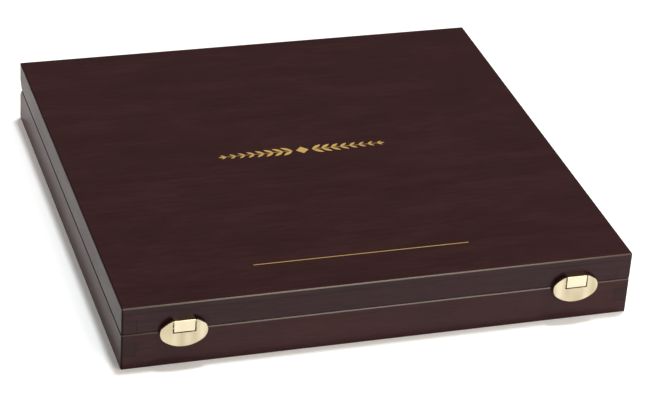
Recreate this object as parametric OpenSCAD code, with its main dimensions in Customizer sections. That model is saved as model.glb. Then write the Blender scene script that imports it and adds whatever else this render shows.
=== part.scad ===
// Hinged wooden presentation case for two rows of coloured pencils.
// Millimetres, +Z up, origin at the centre of the underside, front at -Y.

/* [Case] */
// Width of the case, left to right
case_w = 390; // [360:5:440]
// Depth of the case, front to back
case_d = 384; // [380:2:430]
// Height of the closed case
case_h = 51.5; // [50:0.5:60]
// Height of the seam between base and lid
seam_z = 29.5; // [28.5:0.5:33]
// Gap between base and lid along the seam
seam_gap = 0.6; // [0.2:0.05:0.7]
// Thickness of the rails
rail_t = 11; // [10.5:0.5:15]
// Height of one finger of the corner joints
finger_h = 11; // [8:0.5:14]

/* [Panels] */
// Thickness of the top panel
top_panel_t = 5; // [4:0.5:7]
// Thickness of the bottom panel
bottom_panel_t = 4; // [3:0.5:5]
// How far the bottom panel lets into the rails
panel_rebate = 5; // [3:0.5:7]

/* [Edges] */
// Radius of the rounded edge round the top panel
top_round = 1.2; // [0.8:0.1:2.5]
// Radius of the upright corners
corner_r = 1.5; // [1:0.1:3]
// Small chamfer on the base's upper outer edge
base_arris = 0.75; // [0.4:0.05:1.2]
// Small chamfer on the lid's lower outer edge
lid_arris = 0.6; // [0.3:0.05:1]
// Small chamfer round the underside
foot_arris = 0.6; // [0.3:0.1:1.2]

/* [Rear hinges] */
// How far the lid opens, which the two rear bevels share
lid_opening = 95; // [90:1:100]
// Distance of the hinge axis from the back face
hinge_setback = 7.5; // [7:0.1:8]
// Distance of each hinge's middle from the case's side
hinge_inset = 70; // [50:1:110]
// Length of a hinge
hinge_len = 44; // [36:1:60]
// Number of knuckles in a hinge
knuckle_count = 5; // [3:2:7]
// Outer radius of the knuckles
knuckle_r = 2.1; // [1.9:0.05:2.3]
// Radius of the hinge pin
hinge_pin_r = 0.9; // [0.7:0.05:1.1]
// Gap between neighbouring knuckles
knuckle_gap = 0.3; // [0.2:0.05:0.5]
// Thickness of a hinge leaf
leaf_t = 1; // [0.8:0.1:1.3]
// Width of a hinge leaf from the axis
leaf_w = 9.6; // [8.5:0.1:10]

/* [Latches] */
// Distance of each latch's middle from the case's side
latch_inset = 45; // [35:1:80]
// Width of the oval latch plate
plate_w = 35.6; // [33:0.2:40]
// Height of the oval latch plate
plate_h = 24.5; // [23.5:0.1:25.5]
// Radius of the plate's rounded ends
plate_end_r = 9.2; // [8.5:0.1:10]
// How far the plate's middle lies below the seam
plate_drop = 0.4; // [0:0.1:1]
// Sheet thickness of the latch plate
plate_t = 0.9; // [0.7:0.1:1.1]
// Distance of the plate's shoulder from the case's front
plate_stand = 3.9; // [3.7:0.1:4.4]
// Extra height of the plate's crown
plate_crown = 0.5; // [0.2:0.1:0.8]
// Depth of the plate's turned rim
plate_rim = 2.1; // [1.5:0.1:2.3]
// Radius of the plate's rounded edge
plate_edge_r = 0.9; // [0.5:0.1:1.2]
// Width of the bracket's flap
flap_w = 15.4; // [13:0.2:17]
// Height of the flap's top above the seam
flap_top = 9.9; // [9.5:0.1:10.3]
// Length of the flap, top to bottom
flap_len = 9.1; // [8.5:0.1:9.3]
// Distance of the flap's face from the case's front
flap_stand = 4.5; // [4.3:0.1:5]
// Gap between the flap and the plate's notch at the sides
notch_gap = 0.9; // [0.4:0.1:1]
// Gap between the flap's end and the plate's notch
notch_end_gap = 0.9; // [0.5:0.1:1]
// Sheet thickness of the bracket and the keeper
bracket_t = 1; // [0.8:0.1:1]
// Distance of the latch pin from the case's front
latch_pin_stand = 2.5; // [2.4:0.05:2.6]
// Distance of the latch pin below the flap's top
latch_pin_drop = 1.8; // [1.7:0.05:1.9]
// Radius of the latch pin
latch_pin_r = 0.7; // [0.5:0.05:0.7]
// Outer radius of the ears and of the barrel round the latch pin
latch_ear_r = 1.3; // [1.2:0.05:1.35]
// Thickness of an ear
latch_ear_t = 1.3; // [1:0.1:2]
// How far the keeper's ridge stands from the case's front
ridge_stand = 2.6; // [2.3:0.1:2.7]
// Depth of the ridge's underside below the seam
ridge_drop = 7.9; // [7.5:0.1:8.3]
// Overlap of the latch plate's claw under the ridge
claw_catch = 1; // [0.6:0.1:1.1]

/* [Screws] */
// Radius of a countersunk head
screw_head_r = 1.8; // [1.6:0.05:2]
// Radius of a screw's shank
screw_shank_r = 0.9; // [0.8:0.05:1]
// Length of a screw under its countersunk face
screw_len = 8; // [6:0.5:9]

/* [Pencil trays] */
// Spacing of the pencil grooves
groove_pitch = 8.9; // [8.6:0.1:10]
// Radius of a groove
groove_r = 4.1; // [3.8:0.1:4.2]
// Depth of a groove
groove_depth = 3.2; // [2.4:0.1:3.5]
// Height of the ridges between grooves above the bottom panel
ridge_h = 19.2; // [17:0.2:19.4]
// Drop from the seam to the tray's rim
rim_drop = 0.9; // [0.7:0.1:2]
// Thickness of the tray's front and back walls
tray_wall_t = 1.5; // [1.2:0.1:2]
// Least thickness of the tray's side walls
tray_side_t = 3; // [2:0.5:6]
// Play round each tray
tray_play = 0.25; // [0.1:0.05:0.5]
// Radius of the finger trough across the grooves
trough_r = 12; // [10:0.5:14]
// Depth of the finger trough below the ridges
trough_depth = 8; // [6:0.5:9]
// Distance of the trough's middle from the tray's front
trough_from_front = 52; // [40:1:90]

/* [Lid pad] */
// Gap between the trays' rims and the pad's crown
pad_lift = 1.5; // [1.2:0.1:5]
// How much the pad's face domes
pad_crown = 2.6; // [1:0.1:4]
// Gap between the pad and the lid's rails
pad_play = 1.2; // [0.5:0.1:3]

/* [Hidden] */

$fn = 48;
// Overshoot of a cutting tool past the face it cuts
over = 1;
// Radial clearances: pin in bore, screw in hole, knuckle in its groove
pin_play = 0.05;
screw_play = 0.05;
groove_play = 0.35;
// Clearance round a leaf in its mortise and beyond a hinge's ends
leaf_play = 0.1;

half_gap = seam_gap / 2;
base_top = seam_z - half_gap;
lid_bottom = seam_z + half_gap;
rail_top = case_h - top_panel_t;
half_w = case_w / 2;
half_d = case_d / 2;
inner_w = case_w - 2 * rail_t;
inner_d = case_d - 2 * rail_t;
bevel_angle = lid_opening / 2;
hinge_y = half_d - hinge_setback;
hinge_x = half_w - hinge_inset;
latch_x = half_w - latch_inset;

mahogany = [0.22, 0.13, 0.12];
dark_mahogany = [0.19, 0.11, 0.11];
gilt_brass = [0.85, 0.76, 0.56];
charcoal = [0.13, 0.13, 0.14];
cream = [0.86, 0.82, 0.74];

// ---- Outer form -------------------------------------------------------------

// Extrudes a profile drawn in (y, z) along X, centred
module along_x(length) {
    rotate([90, 0, 90]) linear_extrude(length, center = true) children();
}

// Extrudes a profile drawn in (x, z) along Y, centred
module along_y(length) {
    rotate([90, 0, 0]) linear_extrude(length, center = true) children();
}

// Rectangle in plan with true round corners
module rounded_plan(w, d, r) {
    square([w - 2 * r, d], center = true);
    square([w, d - 2 * r], center = true);
    for (sx = [-1, 1], sy = [-1, 1])
        translate([sx * (w / 2 - r), sy * (d / 2 - r)]) circle(r);
}

// The rear bevel keeps half the seam gap clear of the plane through the hinge axis
bevel_in_y = hinge_y - half_gap * tan(bevel_angle / 2);
bevel_out_h = hinge_setback * tan(bevel_angle) + half_gap / cos(bevel_angle);

// Base seen from the side, with its rear bevel
module base_side_profile() {
    polygon([
        [-half_d + foot_arris, 0], [-half_d, foot_arris],
        [-half_d, base_top - base_arris], [-half_d + base_arris, base_top],
        [bevel_in_y, base_top], [half_d, seam_z - bevel_out_h],
        [half_d, foot_arris], [half_d - foot_arris, 0]]);
}

// Base seen from the front
module base_front_profile() {
    polygon([
        [-half_w + foot_arris, 0], [-half_w, foot_arris],
        [-half_w, base_top - base_arris], [-half_w + base_arris, base_top],
        [half_w - base_arris, base_top], [half_w, base_top - base_arris],
        [half_w, foot_arris], [half_w - foot_arris, 0]]);
}

// All that lies under a top of the given width with rounded edges
module under_round_top(w) {
    translate([-w / 2, 0]) square([w, case_h - top_round]);
    translate([-w / 2 + top_round, 0]) square([w - 2 * top_round, case_h]);
    for (s = [-1, 1]) translate([s * (w / 2 - top_round), case_h - top_round]) circle(top_round);
}

// Lid seen from the side, with its rear bevel
module lid_side_profile() {
    intersection() {
        under_round_top(case_d);
        polygon([
            [-half_d + lid_arris, lid_bottom], [-half_d, lid_bottom + lid_arris],
            [-half_d, case_h], [half_d, case_h],
            [half_d, seam_z + bevel_out_h], [bevel_in_y, lid_bottom]]);
    }
}

// Lid seen from the front
module lid_front_profile() {
    intersection() {
        under_round_top(case_w);
        polygon([
            [-half_w + lid_arris, lid_bottom], [-half_w, lid_bottom + lid_arris],
            [-half_w, case_h], [half_w, case_h],
            [half_w, lid_bottom + lid_arris], [half_w - lid_arris, lid_bottom]]);
    }
}

// Upright column with the case's plan, from z0 to z1
module plan_block(z0, z1) {
    translate([0, 0, z0]) linear_extrude(z1 - z0) rounded_plan(case_w, case_d, corner_r);
}

// Heights of the side rails' fingers, as [from, to] pairs. The base starts with the front and
// back rails' fingers, and the lid, sawn off the same box, with the side rails'
base_fingers = [for (z = [finger_h : 2 * finger_h : base_top - finger_h / 2]) [z, z + finger_h]];
lid_fingers = [for (z = [lid_bottom : 2 * finger_h : rail_top - finger_h / 2]) [z, z + finger_h]];

// Fingers of the left (-1) and right (1) rails in the corners, running a little into their rail
module side_fingers(bands, sides) {
    for (band = bands, sx = sides, sy = [-1, 1])
        translate([sx * (half_w - (rail_t - over) / 2), sy * (half_d - rail_t / 2), band[0]])
            linear_extrude(band[1] - band[0])
                square([rail_t + over, rail_t + 2 * over], center = true);
}

// Front (-1) or back (1) rail before its edges are shaped, with room for the side rails' fingers
module long_blank(sy, z0, z1, bands) {
    difference() {
        translate([0, sy * (half_d - (rail_t - over) / 2), z0]) linear_extrude(z1 - z0)
            square([case_w + 2 * over, rail_t + over], center = true);
        side_fingers(bands, [-1, 1]);
    }
}

// Left (-1) or right (1) rail before its edges are shaped, between the other two but for its fingers
module side_blank(sx, z0, z1, bands) {
    translate([sx * (half_w - (rail_t - over) / 2), 0, z0]) linear_extrude(z1 - z0)
        square([rail_t + over, inner_d], center = true);
    side_fingers(bands, [sx]);
}

// Blank of the rail on the named side
module rail_blank(side, z0, z1, bands) {
    if (side == "front") long_blank(-1, z0, z1, bands);
    if (side == "back") long_blank(1, z0, z1, bands);
    if (side == "left") side_blank(-1, z0, z1, bands);
    if (side == "right") side_blank(1, z0, z1, bands);
}

// One rail of the base, before its hardware is let in
module base_rail(side) {
    difference() {
        intersection() {
            rail_blank(side, -over, base_top + over, base_fingers);
            along_x(case_w + 2 * over) base_side_profile();
            along_y(case_d + 2 * over) base_front_profile();
            plan_block(-over, base_top + over);
        }
        panel_space();
    }
}

// One rail of the lid, up to the underside of the top panel
module lid_rail(side) {
    intersection() {
        rail_blank(side, lid_bottom, rail_top, lid_fingers);
        along_x(case_w + 2 * over) lid_side_profile();
        along_y(case_d + 2 * over) lid_front_profile();
        plan_block(lid_bottom - over, rail_top + over);
    }
}

// Rebate in the rails that takes the bottom panel
module panel_space() {
    translate([-inner_w / 2 - panel_rebate, -inner_d / 2 - panel_rebate, -over])
        cube([inner_w + 2 * panel_rebate, inner_d + 2 * panel_rebate, bottom_panel_t + over]);
}

module base_panel() {
    color(dark_mahogany)
        translate([-inner_w / 2 - panel_rebate, -inner_d / 2 - panel_rebate, 0])
            cube([inner_w + 2 * panel_rebate, inner_d + 2 * panel_rebate, bottom_panel_t]);
}

module lid_panel() {
    color(mahogany) intersection() {
        plan_block(rail_top, case_h + over);
        along_x(case_w + 2 * over) lid_side_profile();
        along_y(case_d + 2 * over) lid_front_profile();
    }
}

// ---- Screws -----------------------------------------------------------------

// Countersunk screw with its flat head at z = 0 and its point down
module wood_screw() {
    head_h = screw_head_r - screw_shank_r;
    point_h = 2 * screw_shank_r;
    slot_w = screw_head_r / 4;
    slot_h = head_h / 2;
    difference() {
        union() {
            translate([0, 0, -head_h]) cylinder(head_h, screw_shank_r, screw_head_r);
            translate([0, 0, point_h - screw_len]) cylinder(screw_len - point_h, r = screw_shank_r);
            translate([0, 0, -screw_len]) cylinder(point_h, screw_shank_r / 4, screw_shank_r);
        }
        for (turn = [0, 90])
            rotate(turn) translate([-screw_head_r * 0.6, -slot_w / 2, -slot_h])
                cube([screw_head_r * 1.2, slot_w, slot_h + over]);
    }
}

// Countersunk hole through sheet metal whose face is at z = 0
module screw_hole() {
    head_h = screw_head_r - screw_shank_r;
    translate([0, 0, -head_h])
        cylinder(head_h, screw_shank_r + screw_play, screw_head_r + screw_play);
    translate([0, 0, -screw_len]) cylinder(screw_len, r = screw_shank_r + screw_play);
    cylinder(over, r = screw_head_r + screw_play);
}

// Pilot hole in the wood behind the sheet
module pilot_hole() {
    pilot_len = screw_len + 3 * screw_play;
    translate([0, 0, -pilot_len]) cylinder(pilot_len, r = screw_shank_r + screw_play);
}

// ---- Rear hinges ------------------------------------------------------------

knuckle_pitch = hinge_len / knuckle_count;
screw_rise = (knuckle_r + groove_play + leaf_w) / 2;
leaf_corner_r = 1.2;
hinge_screw_x = [for (i = [-1, 0, 1]) i * (hinge_len / 2 - 2 * screw_head_r - leaf_corner_r)];

// Frame of a bevel: y runs outward down the slope, z stands off it, and the axis is the origin
module on_base_bevel(side) {
    translate([side * hinge_x, hinge_y, seam_z]) rotate([-bevel_angle, 0, 0]) children();
}

module on_lid_bevel(side) {
    translate([side * hinge_x, hinge_y, seam_z]) mirror([0, 0, 1])
        rotate([-bevel_angle, 0, 0]) children();
}

// Cylinder along X over one or more knuckle pitches, shortened by trim at each end
module knuckle_barrel(index, r, trim) {
    translate([-hinge_len / 2 + index * knuckle_pitch + trim, 0, 0])
        rotate([0, 90, 0]) cylinder(knuckle_pitch - 2 * trim, r = r);
}

// Flat outline of a leaf, round at its outer corners
module leaf_plan(grow) {
    w = hinge_len + 2 * grow;
    d = leaf_w + grow;
    r = leaf_corner_r;
    translate([-w / 2, 0]) square([w, d - r]);
    translate([-w / 2 + r, 0]) square([w - 2 * r, d]);
    for (s = [-1, 1]) translate([s * (w / 2 - r), d - r]) circle(r);
}

// One leaf with every second knuckle; parity 0 has the outer knuckles
module hinge_leaf(parity) {
    difference() {
        union() {
            translate([0, 0, -half_gap - leaf_t]) linear_extrude(leaf_t) leaf_plan(0);
            for (i = [parity : 2 : knuckle_count - 1]) knuckle_barrel(i, knuckle_r, knuckle_gap / 2);
        }
        for (i = [1 - parity : 2 : knuckle_count - 1]) knuckle_barrel(i, knuckle_r + groove_play, 0);
        rotate([0, 90, 0])
            cylinder(hinge_len + 2 * over, r = hinge_pin_r + pin_play, center = true);
        for (x = hinge_screw_x) translate([x, screw_rise, -half_gap]) screw_hole();
    }
}

// What a hinge takes out of the rail it is let into
module hinge_mortise() {
    translate([0, 0, -half_gap - leaf_t]) linear_extrude(leaf_t + over) leaf_plan(leaf_play);
    rotate([0, 90, 0])
        cylinder(hinge_len + 2 * groove_play, r = knuckle_r + groove_play, center = true);
    for (x = hinge_screw_x) translate([x, screw_rise, -half_gap]) pilot_hole();
}

module hinge_pin(side) {
    color(gilt_brass) translate([side * hinge_x, hinge_y, seam_z]) rotate([0, 90, 0])
        cylinder(hinge_len - knuckle_gap, r = hinge_pin_r, center = true);
}

module hinge_screws() {
    for (x = hinge_screw_x) translate([x, screw_rise, -half_gap]) wood_screw();
}

// ---- Front latches ----------------------------------------------------------

// Frame of a latch: x across, y into the case from its front face, z as the case's
module at_latch(side) {
    translate([side * latch_x, -half_d, 0]) children();
}

// Turns a profile drawn in (distance in front, z) into a bar along X
module across_latch(width) {
    rotate([90, 0, -90]) linear_extrude(width, center = true) children();
}

plate_z = seam_z - plate_drop;
flap_z = seam_z + flap_top;
notch_z = flap_z - flap_len - notch_end_gap;
notch_w = flap_w + 2 * notch_gap;
latch_pin_z = flap_z - latch_pin_drop;
ridge_z = seam_z - ridge_drop;
latch_pin_len = notch_w + 2 * latch_ear_t;

// Four-centred oval: the side arcs' centres lie at plus and minus end_x, and the long arcs'
// centres at plus and minus long_y, where all four arcs meet tangent
end_x = plate_w / 2 - plate_end_r;
half_h = plate_h / 2;
long_r = (end_x * end_x + half_h * half_h - plate_end_r * plate_end_r) / (2 * (half_h - plate_end_r));
long_y = long_r - half_h;
join_angle = atan2(long_y, end_x);

// Point of the oval where its outward normal has the angle a, drawn in by the distance inset
function oval_point(a, inset) =
    abs(cos(a)) > cos(join_angle)
    ? [sign(cos(a)) * end_x + (plate_end_r - inset) * cos(a), (plate_end_r - inset) * sin(a)]
    : [(long_r - inset) * cos(a), -sign(sin(a)) * long_y + (long_r - inset) * sin(a)];

oval_steps = 72;
edge_steps = 4;
crown_steps = 4;
crown_reach = plate_end_r - plate_edge_r - 1.2 * plate_t;

// Rings of the pressed plate as [inset, distance in front]: rim, rounded edge, low crown
function plate_rings(back) = concat(
    [[0, back]],
    [for (i = [0 : edge_steps]) let(a = 90 * i / edge_steps)
        [plate_edge_r * (1 - cos(a)), plate_stand - plate_edge_r * (1 - sin(a))]],
    [for (i = [1 : crown_steps]) let(u = i / crown_steps)
        [plate_edge_r + crown_reach * u, plate_stand + plate_crown * (1 - pow(1 - u, 2))]]);

// Closed solid through the rings, moved inward and back by the sheet's thickness for the hollow
module pressed_form(rings, shift) {
    n = oval_steps;
    count = len(rings);
    points = [for (ring = rings, k = [0 : n - 1])
        let(p = oval_point(360 * (k + 0.5) / n, ring[0] + shift))
        [p[0], shift - ring[1], plate_z + p[1]]];
    sides = [for (j = [0 : count - 2], k = [0 : n - 1]) let(a = j * n + k, b = j * n + (k + 1) % n)
        each [[a, a + n, b], [b, a + n, b + n]]];
    back_face = [[for (k = [0 : n - 1]) k]];
    front_face = [[for (k = [n - 1 : -1 : 0]) (count - 1) * n + k]];
    polyhedron(points, concat(sides, back_face, front_face), convexity = 4);
}

// Profile of an ear on the back of the plate, round about the pin, with a foot down the sheet
module ear_profile() {
    sheet_out = plate_stand - plate_t / 2;
    translate([latch_pin_stand, latch_pin_z]) circle(latch_ear_r);
    translate([latch_pin_stand, latch_pin_z - latch_ear_r])
        square([sheet_out - latch_pin_stand, 2 * latch_ear_r]);
    polygon([
        [latch_pin_stand - latch_ear_r, latch_pin_z], [sheet_out, latch_pin_z],
        [sheet_out, latch_pin_z - 4 * latch_ear_r]]);
}

claw_gap = 0.3;
claw_h = 1;
claw_w = 12;

// Claw under the keeper's ridge, tapered to its nose
module claw_profile() {
    sheet_out = plate_stand - plate_t / 2;
    nose = ridge_stand - claw_catch;
    top = ridge_z - claw_gap;
    polygon([
        [nose, top], [sheet_out, top], [sheet_out, top - 2 * claw_h], [nose, top - claw_h]]);
}

// Oval plate that swings on the bracket's pin and hooks under the keeper
module latch_plate(side) {
    color(gilt_brass) at_latch(side) {
        difference() {
            union() {
                difference() {
                    pressed_form(plate_rings(plate_stand - plate_rim), 0);
                    pressed_form(plate_rings(plate_stand - plate_rim - over - plate_t), plate_t);
                }
                for (s = [-1, 1]) translate([s * (notch_w + latch_ear_t) / 2, 0, 0])
                    across_latch(latch_ear_t) ear_profile();
                across_latch(claw_w) claw_profile();
            }
            translate([-notch_w / 2, -plate_stand - plate_crown - over, notch_z])
                cube([notch_w, plate_stand + plate_crown + over, plate_h]);
            translate([0, -latch_pin_stand, latch_pin_z]) rotate([0, 90, 0])
                cylinder(latch_pin_len + 2 * over, r = latch_pin_r + pin_play, center = true);
        }
    }
}

bracket_corner_r = 0.8;
bracket_foot_z = seam_z + 1.5;
wing_w = 27;
wing_h = 5;
bracket_screw_x = 10.8;

// Folded strip seen from the side: foot on the lid, shelf, flap, and a barrel for the pin
module bracket_profile() {
    r = bracket_corner_r;
    translate([0, bracket_foot_z]) square([bracket_t, flap_z - bracket_foot_z]);
    translate([0, flap_z - bracket_t]) square([flap_stand - r, bracket_t]);
    translate([flap_stand - bracket_t, flap_z - flap_len]) square([bracket_t, flap_len - r]);
    translate([flap_stand - r, flap_z - r]) circle(r);
    translate([latch_pin_stand, latch_pin_z]) circle(latch_pin_stand - bracket_t + pin_play);
}

// Bracket on the lid that carries the latch pin and covers the notch
module latch_bracket(side) {
    color(gilt_brass) at_latch(side) {
        difference() {
            union() {
                across_latch(flap_w) bracket_profile();
                translate([-wing_w / 2, -bracket_t, bracket_foot_z])
                    cube([wing_w, bracket_t, wing_h]);
            }
            translate([0, -latch_pin_stand, latch_pin_z]) rotate([0, 90, 0])
                cylinder(flap_w + 2 * over, r = latch_pin_r + pin_play, center = true);
            on_bracket_screws() screw_hole();
        }
    }
}

// Places children at the bracket's screws, z standing off the sheet
module on_bracket_screws() {
    for (s = [-1, 1])
        translate([s * bracket_screw_x, -bracket_t, bracket_foot_z + wing_h / 2])
            rotate([90, 0, 0]) children();
}

module latch_pin(side) {
    color(gilt_brass) at_latch(side) translate([0, -latch_pin_stand, latch_pin_z])
        rotate([0, 90, 0]) cylinder(latch_pin_len, r = latch_pin_r, center = true);
}

keeper_w = 23;
keeper_top = seam_z - 1.1;
keeper_h = 9.8;
keeper_corner_r = 1.5;
ridge_bar_h = 1.2;
ridge_bar_w = 12;
keeper_screw_x = 8.4;
keeper_screw_rise = 5.4;

// Keeper on the base: a small plate with a round-nosed ridge for the claw
module keeper(side) {
    color(gilt_brass) at_latch(side) {
        difference() {
            union() {
                translate([0, 0, keeper_top - keeper_h / 2]) rotate([90, 0, 0])
                    linear_extrude(bracket_t) rounded_plan(keeper_w, keeper_h, keeper_corner_r);
                across_latch(ridge_bar_w) {
                    translate([bracket_t / 2, ridge_z])
                        square([ridge_stand - ridge_bar_h / 2 - bracket_t / 2, ridge_bar_h]);
                    translate([ridge_stand - ridge_bar_h / 2, ridge_z + ridge_bar_h / 2])
                        circle(ridge_bar_h / 2);
                }
            }
            on_keeper_screws() screw_hole();
        }
    }
}

module on_keeper_screws() {
    for (s = [-1, 1])
        translate([s * keeper_screw_x, -bracket_t, keeper_top - keeper_h + keeper_screw_rise])
            rotate([90, 0, 0]) children();
}

// ---- Pencil trays -----------------------------------------------------------

tray_w = inner_w - 2 * tray_play;
tray_d = (inner_d - 3 * tray_play) / 2;
bay_d = tray_d - 2 * tray_wall_t;
groove_count = floor((tray_w - 2 * tray_side_t) / groove_pitch);
bay_w = groove_count * groove_pitch;
ridge_top = bottom_panel_t + ridge_h;
rim_z = seam_z - rim_drop;
groove_z = ridge_top - groove_depth + groove_r;
trough_z = ridge_top - trough_depth + trough_r;

// Moulded tray with one round groove for each pencil and a trough for the fingers
module tray(row) {
    y0 = row == "front" ? -inner_d / 2 + tray_play : tray_play / 2;
    color(charcoal) translate([0, y0, 0]) difference() {
        translate([-tray_w / 2, 0, bottom_panel_t]) cube([tray_w, tray_d, rim_z - bottom_panel_t]);
        translate([-bay_w / 2, tray_wall_t, ridge_top])
            cube([bay_w, bay_d, rim_z - ridge_top + over]);
        for (i = [0 : groove_count - 1])
            translate([(i - (groove_count - 1) / 2) * groove_pitch, tray_wall_t, groove_z])
                rotate([-90, 0, 0]) cylinder(bay_d, r = groove_r);
        translate([0, trough_from_front, trough_z]) rotate([0, 90, 0])
            cylinder(bay_w, r = trough_r, center = true);
    }
}

// ---- Lid pad ----------------------------------------------------------------

pad_w = inner_w - 2 * pad_play;
pad_d = inner_d - 2 * pad_play;
pad_low_z = rim_z + pad_lift;
pad_steps = 20;
pad_draw = 1.5;

// Spacing that crowds the rows towards the pad's edges, from -1 to 1
function pad_u(i) = sin(90 * (2 * i / pad_steps - 1));

// Crowned face: full height in the middle, rounded off over the edges
function pad_fall(u, v) = pow((1 - pow(u, 8)) * (1 - pow(v, 8)), 0.35);

// Padded lining under the top panel, crowned towards the pencils, its sides drawn in at mid length
module lid_pad() {
    n = pad_steps;
    face = [for (j = [0 : n], i = [0 : n])
        let(u = pad_u(i), v = pad_u(j), edge = max(abs(u), abs(v)))
        [(pad_w / 2 - pad_draw * (1 - v * v) * pow(edge, 6)) * u,
         (pad_d / 2 - pad_draw * (1 - u * u) * pow(edge, 6)) * v,
         pad_low_z + pad_crown * (1 - pad_fall(u, v))]];
    back = [for (p = face) [p[0], p[1], rail_top]];
    m = (n + 1) * (n + 1);
    top = [for (j = [0 : n - 1], i = [0 : n - 1]) let(a = j * (n + 1) + i)
        each [[a, a + 1, a + n + 2], [a, a + n + 2, a + n + 1]]];
    under = [for (t = top) [t[2] + m, t[1] + m, t[0] + m]];
    rim = concat(
        [for (i = [0 : n - 1]) i], [for (j = [0 : n - 1]) j * (n + 1) + n],
        [for (i = [n : -1 : 1]) n * (n + 1) + i], [for (j = [n : -1 : 1]) j * (n + 1)]);
    walls = [for (k = [0 : len(rim) - 1]) let(a = rim[k], b = rim[(k + 1) % len(rim)])
        each [[b, a, b + m], [a, a + m, b + m]]];
    color(cream) polyhedron(concat(face, back), concat(top, under, walls), convexity = 4);
}

// ---- Pieces in place --------------------------------------------------------

module base_rail_front() {
    color(dark_mahogany) difference() {
        base_rail("front");
        for (side = [-1, 1]) at_latch(side) on_keeper_screws() pilot_hole();
    }
}

module base_rail_back() {
    color(dark_mahogany) difference() {
        base_rail("back");
        for (side = [-1, 1]) on_base_bevel(side) hinge_mortise();
    }
}

module lid_rail_front() {
    color(mahogany) difference() {
        lid_rail("front");
        for (side = [-1, 1]) at_latch(side) on_bracket_screws() pilot_hole();
    }
}

module lid_rail_back() {
    color(mahogany) difference() {
        lid_rail("back");
        for (side = [-1, 1]) on_lid_bevel(side) hinge_mortise();
    }
}

module hinge_base_leaf(side) {
    color(gilt_brass) on_base_bevel(side) hinge_leaf(0);
}

module hinge_lid_leaf(side) {
    color(gilt_brass) on_lid_bevel(side) hinge_leaf(1);
}

base_rail_front();
base_rail_back();
color(dark_mahogany) base_rail("left");  // base_rail_left
color(dark_mahogany) base_rail("right");  // base_rail_right
base_panel();
tray("front");  // tray_front
tray("rear");  // tray_rear
lid_rail_front();
lid_rail_back();
color(mahogany) lid_rail("left");  // lid_rail_left
color(mahogany) lid_rail("right");  // lid_rail_right
lid_panel();
lid_pad();
latch_plate(-1);  // latch_plate_left
latch_plate(1);  // latch_plate_right
latch_bracket(-1);  // latch_bracket_left
latch_bracket(1);  // latch_bracket_right
latch_pin(-1);  // latch_pin_left
latch_pin(1);  // latch_pin_right
keeper(-1);  // keeper_left
keeper(1);  // keeper_right
hinge_base_leaf(-1);  // hinge_left_base_leaf
hinge_base_leaf(1);  // hinge_right_base_leaf
hinge_lid_leaf(-1);  // hinge_left_lid_leaf
hinge_lid_leaf(1);  // hinge_right_lid_leaf
hinge_pin(-1);  // hinge_left_pin
hinge_pin(1);  // hinge_right_pin
color(gilt_brass) for (side = [-1, 1]) on_base_bevel(side) hinge_screws();  // hinge_base_screws
color(gilt_brass) for (side = [-1, 1]) on_lid_bevel(side) hinge_screws();  // hinge_lid_screws
color(gilt_brass) for (side = [-1, 1]) at_latch(side) on_bracket_screws() wood_screw();  // bracket_screws
color(gilt_brass) for (side = [-1, 1]) at_latch(side) on_keeper_screws() wood_screw();  // keeper_screws
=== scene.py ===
"""Looks of a flat hinged pencil case: lacquered wood, brass latches, flocked trays, a padded lid.

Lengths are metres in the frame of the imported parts. The finishes' patterns are in millimetres.
"""
import logging
import math
from dataclasses import dataclass
from enum import Enum
from typing import Any

import bmesh
import bpy
from bpy.types import Material, Node, NodeSocket, NodeTree, Object
from mathutils import Matrix, Vector


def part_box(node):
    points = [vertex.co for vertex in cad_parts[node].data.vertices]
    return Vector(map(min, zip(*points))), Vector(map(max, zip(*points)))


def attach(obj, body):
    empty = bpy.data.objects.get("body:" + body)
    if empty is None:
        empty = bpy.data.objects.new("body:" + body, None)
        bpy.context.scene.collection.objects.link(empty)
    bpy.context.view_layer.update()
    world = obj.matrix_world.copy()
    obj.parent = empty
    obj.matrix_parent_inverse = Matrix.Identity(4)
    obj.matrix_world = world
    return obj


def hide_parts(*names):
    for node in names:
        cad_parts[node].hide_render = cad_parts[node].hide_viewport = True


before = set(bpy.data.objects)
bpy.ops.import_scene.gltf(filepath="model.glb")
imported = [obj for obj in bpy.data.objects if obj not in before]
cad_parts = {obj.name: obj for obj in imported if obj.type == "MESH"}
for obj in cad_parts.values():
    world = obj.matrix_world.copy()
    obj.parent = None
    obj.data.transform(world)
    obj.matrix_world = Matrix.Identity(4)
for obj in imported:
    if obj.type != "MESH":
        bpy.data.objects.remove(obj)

LOG = logging.getLogger("pencil_case")
MM = 0.001
Rgb = tuple[float, float, float]
Triple = tuple[float, float, float]
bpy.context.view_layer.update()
NOISE_SPAN = (0.3, 0.7)
UPRIGHT = (0.0, 0.0, 1.0)
WELD = 0.002 * MM
FLAT_ANGLE = math.radians(0.3)
SHARP_ANGLE = math.radians(30.0)


class GrainAxis(Enum):
    """Direction that a board's fibres run in, as the turn that lays the pattern along it."""

    ALONG_X = 0.0
    ALONG_Y = -90.0


class Side(Enum):
    """The left or right one of a mirrored pair."""

    LEFT = "left"
    RIGHT = "right"


# ---- Node trees


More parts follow.
